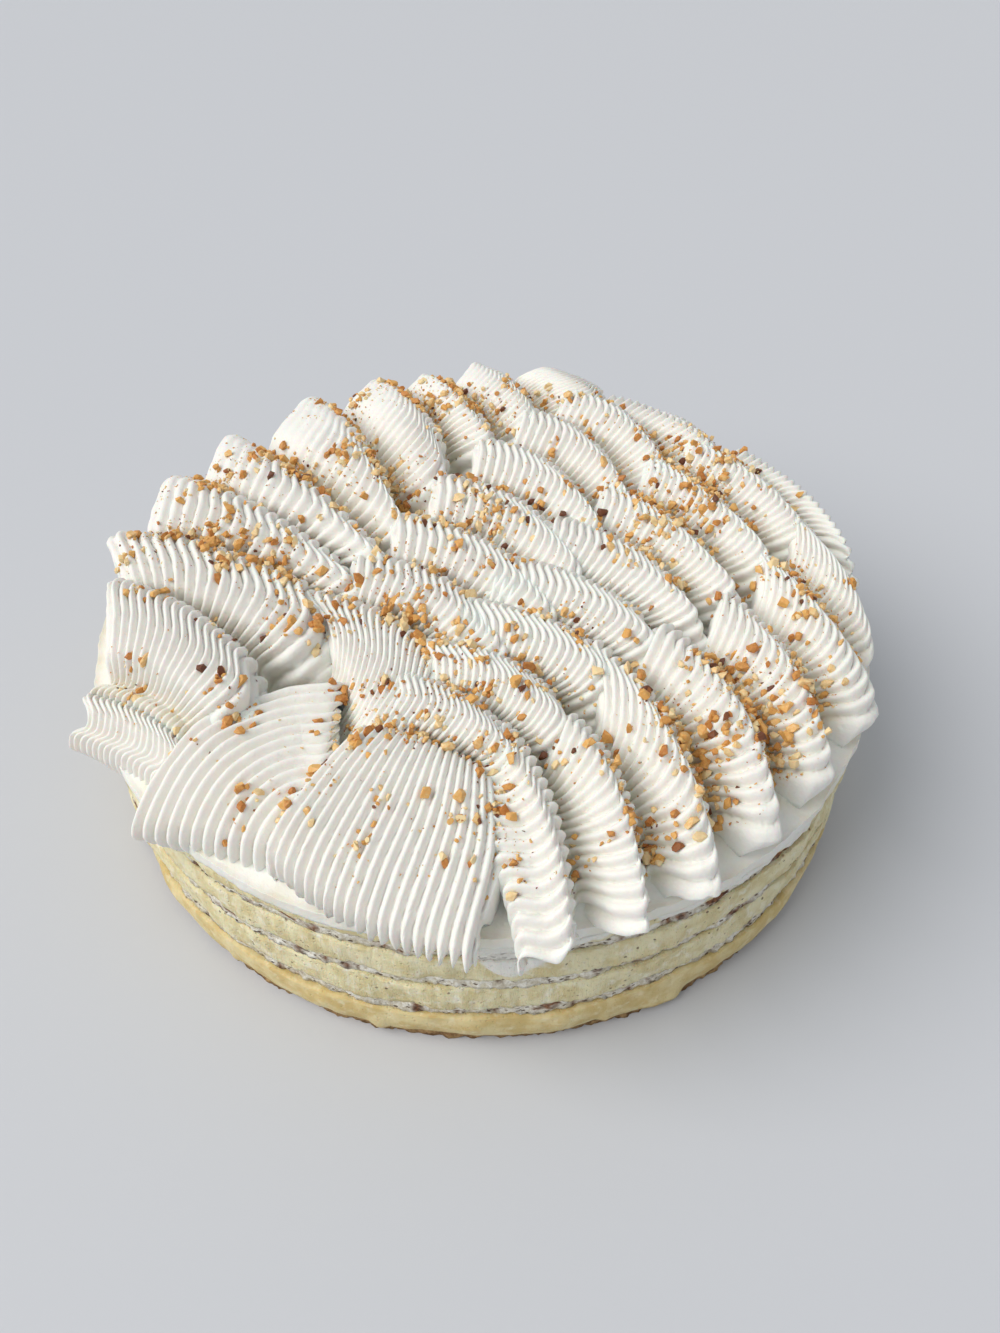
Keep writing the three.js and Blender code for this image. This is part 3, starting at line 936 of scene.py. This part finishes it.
def node(tree, kind, settings=None, inputs=None, output=0):
    """Adds a node: its settings first, then the values or links of its sockets."""
    made = tree.nodes.new(kind)
    for key, value in (settings or {}).items():
        setattr(made, key, value)
    for key, value in (inputs or {}).items():
        socket = made.inputs[key]
        if isinstance(value, Maths):
            tree.links.new(value.socket, socket)
        else:
            socket.default_value = value
    return Maths(tree, made.outputs[output])


class Finish:
    """A material with helpers for the patterns that a food surface needs."""

    def __init__(self, name):
        self.material = bpy.data.materials.new(name)
        self.material.use_nodes = True
        self.tree = self.material.node_tree
        self.shader = self.tree.nodes["Principled BSDF"]
        self.place = node(self.tree, "ShaderNodeTexCoord", output=3)

    def stretched(self, x, y, z):
        """Place on the piece, with a pattern's scale along each axis."""
        return node(self.tree, "ShaderNodeMapping", {}, {"Vector": self.place, "Scale": (x, y, z)})

    def pattern(self, kind, size, vector, **inputs):
        """A pattern with features about size millimetres wide."""
        inputs.update(Vector=vector or self.place, Scale=1 / (size * MM))
        return node(self.tree, kind, {}, inputs)

    def noise(self, size, detail=3.0, rough=0.55, vector=None):
        return self.pattern("ShaderNodeTexNoise", size, vector, Detail=detail, Roughness=rough)

    def cells(self, size, vector=None):
        return self.pattern("ShaderNodeTexVoronoi", size, vector)

    def attribute(self, name):
        """A value that was stored for each vertex."""
        return node(self.tree, "ShaderNodeAttribute", {"attribute_name": name}, output=2)

    def mix(self, factor, a, b):
        """Mix of two colours."""
        a, b = (colour if isinstance(colour, Maths) else (*colour, 1) for colour in (a, b))
        return node(self.tree, "ShaderNodeMix", {"data_type": "RGBA"}, {0: factor, 6: a, 7: b}, output=2)

    def bump(self, height, distance):
        """Bumps that are distance millimetres high where height is 1."""
        return node(self.tree, "ShaderNodeBump", {}, {"Height": height, "Distance": distance * MM})

    def close(self, colour, roughness, normal, soft=(0.0, 0.05), shine=0.5):
        """Sets the shader's inputs, with the weight and scale of its subsurface light."""
        inputs = {
            "Base Color": colour,
            "Roughness": roughness,
            "Normal": normal,
            "Subsurface Weight": soft[0],
            "Subsurface Scale": soft[1],
            "Specular IOR Level": shine,
        }
        for key, value in inputs.items():
            if isinstance(value, Maths):
                self.tree.links.new(value.socket, self.shader.inputs[key])
            else:
                self.shader.inputs[key].default_value = value
        return self.material


def piped_cream_finish(look):
    """Whipped cream with painted shade, darker and warmer, in its grooves, valleys and underside, a random
    tint, and fine air bubbles.
    """
    f = Finish("piped_cream")
    painted_shade = f.attribute("painted_shade")
    # Painted shade from the grooves and valleys, with a random tint mixed in.
    shade_and_tint = painted_shade * 0.8 + (f.noise(26, 2) - 0.5) * 0.5
    colour = f.mix(shade_and_tint.above(0.15, 0.95), look.cream, look.cream_hollow)
    pores = 1 - f.cells(1.3).above(0.0, 0.22)
    bubbles = f.noise(0.9, 3, 0.7) * 0.6 + f.noise(3.2, 2) * 0.7 + pores * -0.25
    roughness = 0.46 + f.noise(2.5, 2) * 0.16
    return f.close(colour, roughness, f.bump(bubbles, 0.30), soft=(0.22, 0.004), shine=0.35)


def smooth_cream_finish(look):
    """Spread cream with faint streaks."""
    f = Finish("spread_cream")
    # The painted-shade colour serves here only as a random tint in patches.
    colour = f.mix(f.noise(14, 3).above(0.35, 0.75), look.cream, look.cream_hollow)
    streaks = f.noise(3.0, 3, 0.6) * 0.8 + f.noise(0.9, 2) * 0.3
    roughness = 0.42 + f.noise(3, 2) * 0.15
    return f.close(colour, roughness, f.bump(streaks, 0.35), soft=(0.2, 0.004), shine=0.35)


def custard_finish(name, look, scraped):
    """Custard with pores, knife scratches and specks; white where cream is smeared over it."""
    light, main, deep = (getattr(look, name + tone) for tone in ("_light", "", "_deep"))
    f = Finish(name)
    smear = f.attribute("smear")
    tone = f.noise(7.5, 4, 0.6)
    colour = f.mix(tone.above(0.38, 0.62), deep, main)
    colour = f.mix(f.noise(3.4, 3).above(0.5, 0.78), colour, light)
    upright = f.stretched(1.0, 1.0, 0.16)
    drag = f.stretched(0.30, 0.30, 1.5)
    scratch = f.noise(1.15, 3, 0.65, vector=upright)
    pulled = f.noise(1.5, 3, 0.6, vector=drag)
    if scraped:
        colour = f.mix(scratch.above(0.57, 0.72) * 0.55, colour, light)
        speck = (1 - f.cells(2.6).above(0.12, 0.22)) * f.noise(8, 2).above(0.50, 0.60)
        colour = f.mix(speck * 0.85, colour, look.speck)
    colour = f.mix(smear * 0.92, colour, look.cream)
    pores = 1 - f.cells(1.6).above(0.04, 0.30)
    depth, distance = (0.9, 0.45) if scraped else (0.25, 0.28)
    height = scratch * depth + pulled * 0.55 + f.noise(0.8, 3, 0.7) * 0.45 - pores * 0.5
    roughness = 0.5 + f.noise(2.4, 2) * 0.2 - smear * 0.05
    return f.close(colour, roughness, f.bump(height, distance), soft=(0.15, 0.003), shine=0.4)


def nut_layer_finish(look):
    """Ground nuts and cream, flecked with nut skin, browned where crust shows."""
    f = Finish("nut_layer")
    smear = f.attribute("smear")
    grain = f.noise(1.6, 4, 0.7)
    colour = f.mix(grain.above(0.35, 0.65), look.nut_paste_dull, look.nut_paste)
    colour = f.mix(f.noise(5.0, 3).above(0.55, 0.75) * 0.7, colour, look.pale_custard)
    flat = f.stretched(0.62, 0.62, 1.25)
    fleck = (1 - f.cells(1.4, vector=flat).above(0.20, 0.34)) * f.noise(4.0, 3).above(0.42, 0.50)
    colour = f.mix(fleck * 0.9, colour, look.speck)
    crust = f.attribute("crust")
    toasted = f.mix(grain.above(0.4, 0.6), look.crust_dark, look.crust)
    colour = f.mix(crust, colour, toasted)
    colour = f.mix(smear * 0.7, colour, look.cream)
    height = grain * 0.8 + f.noise(0.7, 2, 0.7) * 0.5 - fleck * 0.7
    return f.close(colour, 0.62, f.bump(height, 0.55), shine=0.3)


def nut_base_finish(look):
    """Crumbly browned nut base."""
    f = Finish("nut_base")
    grain = f.cells(1.5)
    colour = f.mix(f.noise(2.2, 4, 0.7).above(0.35, 0.65), look.base_dark, look.base)
    colour = f.mix(f.noise(4.0, 3).above(0.52, 0.7) * 0.8, colour, look.base_light)
    height = grain * 0.6 + f.noise(0.8, 3, 0.7) * 0.6
    return f.close(colour, 0.75, f.bump(height, 0.7), shine=0.25)


def toasted_nut_finish(look):
    """Chopped nuts from pale to brown, with some dark skins."""
    f = Finish("toasted_nuts")
    tone = f.attribute("tone")
    grain = f.noise(0.8, 3, 0.6)
    colour = f.mix((tone + (grain - 0.5) * 0.5).above(0.05, 0.45), look.nut_pale, look.nut_gold)
    colour = f.mix((tone + (grain - 0.5) * 0.4).above(0.40, 0.80), colour, look.nut_brown)
    colour = f.mix(tone.above(0.80, 0.90), colour, look.nut_dark)
    bumps = f.bump(grain + f.noise(0.35, 2) * 0.5, 0.16)
    return f.close(colour, 0.38 + grain * 0.3, bumps, soft=(0.12, 0.0015))


def shade(name, description, default):
    """A colour that a user may change."""
    return bpy.props.FloatVectorProperty(
        name=name, description=description, default=default, size=3, subtype="COLOR", min=0, max=1
    )


class CakeLook(bpy.types.PropertyGroup):
    """Colours of the cake"""

    cream: shade("Cream", "Colour of the whipped cream", (0.86, 0.848, 0.80))
    # Painted shade of the piped cream, darker and warmer deep between its ribs, in its valleys and on its
    # underside; on the spread cream a random tint.
    cream_hollow: shade("Cream hollows", "Warmer colour deep between the ribs", (0.79, 0.75, 0.61))
    pale_custard: shade("Pale custard", "Main colour of the pale custard layers", (0.785, 0.72, 0.46))
    pale_custard_light: shade("Pale custard, light", "Where a knife scraped it", (0.839, 0.799, 0.644))
    pale_custard_deep: shade("Pale custard, deep", "Its denser parts", (0.66, 0.565, 0.30))
    deep_custard: shade("Deep custard", "Main colour of the bottom custard", (0.716, 0.597, 0.314))
    deep_custard_light: shade("Deep custard, light", "Its lighter parts", (0.791, 0.694, 0.434))
    deep_custard_deep: shade("Deep custard, deep", "Its denser parts", (0.61, 0.462, 0.188))
    nut_paste: shade("Nut layer", "Pale ground nut and cream", (0.88, 0.86, 0.78))
    nut_paste_dull: shade("Nut layer, dull", "Greyer parts of the ground nut layers", (0.58, 0.52, 0.40))
    speck: shade("Specks", "Dark specks of nut skin", (0.117, 0.058, 0.025))
    crust: shade("Crust", "Browned crust at the side", (0.26, 0.105, 0.038))
    crust_dark: shade("Crust, dark", "Darkest browned crust", (0.089, 0.027, 0.012))
    base: shade("Base", "Nut base under the custard", (0.40, 0.25, 0.11))
    base_light: shade("Base, light", "Pale grains of the nut base", (0.552, 0.371, 0.162))
    base_dark: shade("Base, dark", "Dark grains of the nut base", (0.19, 0.10, 0.04))
    nut_pale: shade("Nuts, pale", "Pale flesh of the chopped nuts", (0.855, 0.658, 0.361))
    nut_gold: shade("Nuts, golden", "Golden toasted nuts", (0.73, 0.392, 0.107))
    nut_brown: shade("Nuts, brown", "Browner toasted nuts", (0.468, 0.162, 0.03))
    nut_dark: shade("Nuts, dark", "Dark skins among the nuts", (0.138, 0.04, 0.012))


def number(name, description, default, **kind):
    """A number, a length in metres or an angle that a user may change."""
    return bpy.props.FloatProperty(
        name=name, description=description, default=default, min=0, precision=4, **kind
    )


def amount(name, description, default):
    """How many there are, which a user may change."""
    return bpy.props.IntProperty(name=name, description=description, default=default, min=1)


LENGTH = {"subtype": "DISTANCE"}
ANGLE = {"subtype": "ANGLE"}
WINDOW_SPREAD = math.radians(50.0)


class CakeSizes(bpy.types.PropertyGroup):
    """Sizes of the piping and the nuts"""

    fold_depth: number("Fold depth", "How deep a valley lies below the noses beside it", 0.010, **LENGTH)
    rib_height: number("Rib height", "Height of a rib as a share of the way to the next", 0.72)
    nut_size: number("Nut size", "Size of the largest chopped nut", 0.0045, **LENGTH)
    crumb_size: number("Crumb size", "Size of the largest crumb and smallest nut", 0.0013, **LENGTH)
    dust_size: number("Dust size", "Size of the smallest crumb", 0.0004, **LENGTH)
    nut_count: amount("Nuts", "Number of chopped nuts", 4500)
    crumb_count: amount("Crumbs", "Number of nut crumbs", 12000)


class StageLook(bpy.types.PropertyGroup):
    """Floor and light"""

    floor: shade("Floor", "Colour of the floor", (0.585, 0.60, 0.635))
    daylight: number("Daylight", "Strength of the even light from all round", 0.50)
    window: number("Window", "Strength of the soft light from the side", 2.4)
    window_spread: number("Window spread", "Width of the window seen from the cake", WINDOW_SPREAD, **ANGLE)


class CAKE_OT_piping(bpy.types.Operator):
    """Pipes the ruffled strokes of whipped cream"""

    bl_idname = "cake.piping"
    bl_label = "Piped cream"

    def execute(self, context):
        material = piped_cream_finish(context.scene.cake_look)
        for name in STROKES:
            piece = ribbon_mesh(Ribbon(name, context.scene.cake_sizes), material)
            piece.data.calc_loop_triangles()
            if len(piece.data.loop_triangles) > MOST_TRIANGLES:
                raise RuntimeError(f"{piece.name} is too fine")
        return {"FINISHED"}


class CAKE_OT_layers(bpy.types.Operator):
    """Stacks the custard, nut and cream layers"""

    bl_idname = "cake.layers"
    bl_label = "Layers"

    def execute(self, context):
        look = context.scene.cake_look
        finishes = {
            "nut_base": nut_base_finish(look),
            "deep_custard": custard_finish("deep_custard", look, scraped=False),
            "nut_layer": nut_layer_finish(look),
            "pale_custard": custard_finish("pale_custard", look, scraped=True),
        }
        for name in LAYERS:
            layer_piece(name, finishes[kind_of(name)])
        coat_piece(smooth_cream_finish(look))
        return {"FINISHED"}


class CAKE_OT_nuts(bpy.types.Operator):
    """Scatters the chopped toasted nuts"""

    bl_idname = "cake.nuts"
    bl_label = "Chopped nuts"

    def execute(self, context):
        sizes = context.scene.cake_sizes
        rng = np.random.default_rng(NUT_SEED)
        material = toasted_nut_finish(context.scene.cake_look)
        cream = [bpy.data.objects[cream_name(name)] for name in STROKES]
        tree = cream_tree(cream + [bpy.data.objects["spread_cream"]])
        kinds = (
            ("chopped_nuts", sizes.nut_count, sizes.crumb_size, sizes.nut_size, NUT_DARK, NUT_SHAPES),
            ("nut_crumbs", sizes.crumb_count, sizes.dust_size, sizes.crumb_size, CRUMB_DARK, CRUMB_SHAPES),
        )
        ground = Ground(tree)
        for name, count, smallest, largest, dark_share, shapes in kinds:
            places = nut_places(rng, tree, ground, count, smallest, largest, dark_share)
            scatter_piece(name, chips(rng, *shapes), rng, places, material)
        return {"FINISHED"}


# The stage, in metres: the floor reaches this far each way from the cake.
FLOOR_REACH, FLOOR_ROUGHNESS = 3.0, 0.6
SKY_COLOUR = (0.93, 0.965, 1.0, 1)
WINDOW_COLOUR, WINDOW_WAY = (1.0, 0.975, 0.94), (0.82, 0.24, -0.84)
CAMERA_PLACE = (0.00506, -0.2514, 0.2697)
CAMERA_PITCH, CAMERA_ROLL = math.radians(43.80), math.radians(0.631)
# The lens and the height of the sensor, in millimetres.
LENS, SENSOR = 27.64, 36.0


class CAKE_OT_stage(bpy.types.Operator):
    """Lays the floor and sets the light and the camera"""

    bl_idname = "cake.stage"
    bl_label = "Stage"

    def execute(self, context):
        look = context.scene.cake_stage
        bm = bmesh.new()
        bmesh.ops.create_grid(bm, x_segments=2, y_segments=2, size=FLOOR_REACH)
        mesh = new_mesh("floor", bm)
        floor = new_object("floor", mesh)
        finish = Finish("floor")
        finish.shader.inputs["Base Color"].default_value = (*look.floor, 1)
        finish.shader.inputs["Roughness"].default_value = FLOOR_ROUGHNESS
        mesh.materials.append(finish.material)

        world = bpy.data.worlds.new("daylight")
        world.use_nodes = True
        sky = world.node_tree.nodes["Background"]
        sky.inputs["Color"].default_value = SKY_COLOUR
        sky.inputs["Strength"].default_value = look.daylight
        context.scene.world = world
        sun = bpy.data.lights.new("window_light", "SUN")
        sun.energy = look.window
        sun.angle = look.window_spread
        sun.color = WINDOW_COLOUR
        lamp = new_object("window_light", sun)
        lamp.rotation_euler = Vector(WINDOW_WAY).to_track_quat("-Z", "Y").to_euler()

        camera = bpy.data.cameras.new("camera")
        camera.sensor_fit = "VERTICAL"
        camera.sensor_height = SENSOR
        camera.lens = LENS
        view = new_object("camera", camera)
        pitch = Matrix.Rotation(math.pi / 2 - CAMERA_PITCH, 4, "X")
        roll = Matrix.Rotation(CAMERA_ROLL, 4, "Z")
        view.matrix_world = Matrix.Translation(CAMERA_PLACE) @ pitch @ roll
        context.scene.camera = view
        context.scene.view_settings.view_transform = "Standard"
        return {"FINISHED"}


class CAKE_PT_panel(bpy.types.Panel):
    """Cake sizes, colours and makers"""

    bl_label = "Cake"
    bl_space_type = "VIEW_3D"
    bl_region_type = "UI"
    bl_category = "Cake"

    def draw(self, context):
        for group in (context.scene.cake_sizes, context.scene.cake_look, context.scene.cake_stage):
            for prop in group.bl_rna.properties:
                if prop.identifier not in ("rna_type", "name"):
                    self.layout.prop(group, prop.identifier)
        for maker in MAKERS:
            self.layout.operator(maker.bl_idname)


MAKERS = (CAKE_OT_layers, CAKE_OT_piping, CAKE_OT_nuts, CAKE_OT_stage)
CLASSES = (CakeSizes, CakeLook, StageLook, *MAKERS, CAKE_PT_panel)


def register():
    for cls in CLASSES:
        bpy.utils.register_class(cls)
    bpy.types.Scene.cake_sizes = bpy.props.PointerProperty(type=CakeSizes)
    bpy.types.Scene.cake_look = bpy.props.PointerProperty(type=CakeLook)
    bpy.types.Scene.cake_stage = bpy.props.PointerProperty(type=StageLook)


def unregister():
    del bpy.types.Scene.cake_stage
    del bpy.types.Scene.cake_look
    del bpy.types.Scene.cake_sizes
    for cls in reversed(CLASSES):
        bpy.utils.unregister_class(cls)


def main():
    register()
    for maker in MAKERS:
        getattr(bpy.ops.cake, maker.bl_idname.split(".")[1])()
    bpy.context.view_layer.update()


if __name__ == "__main__":
    main()
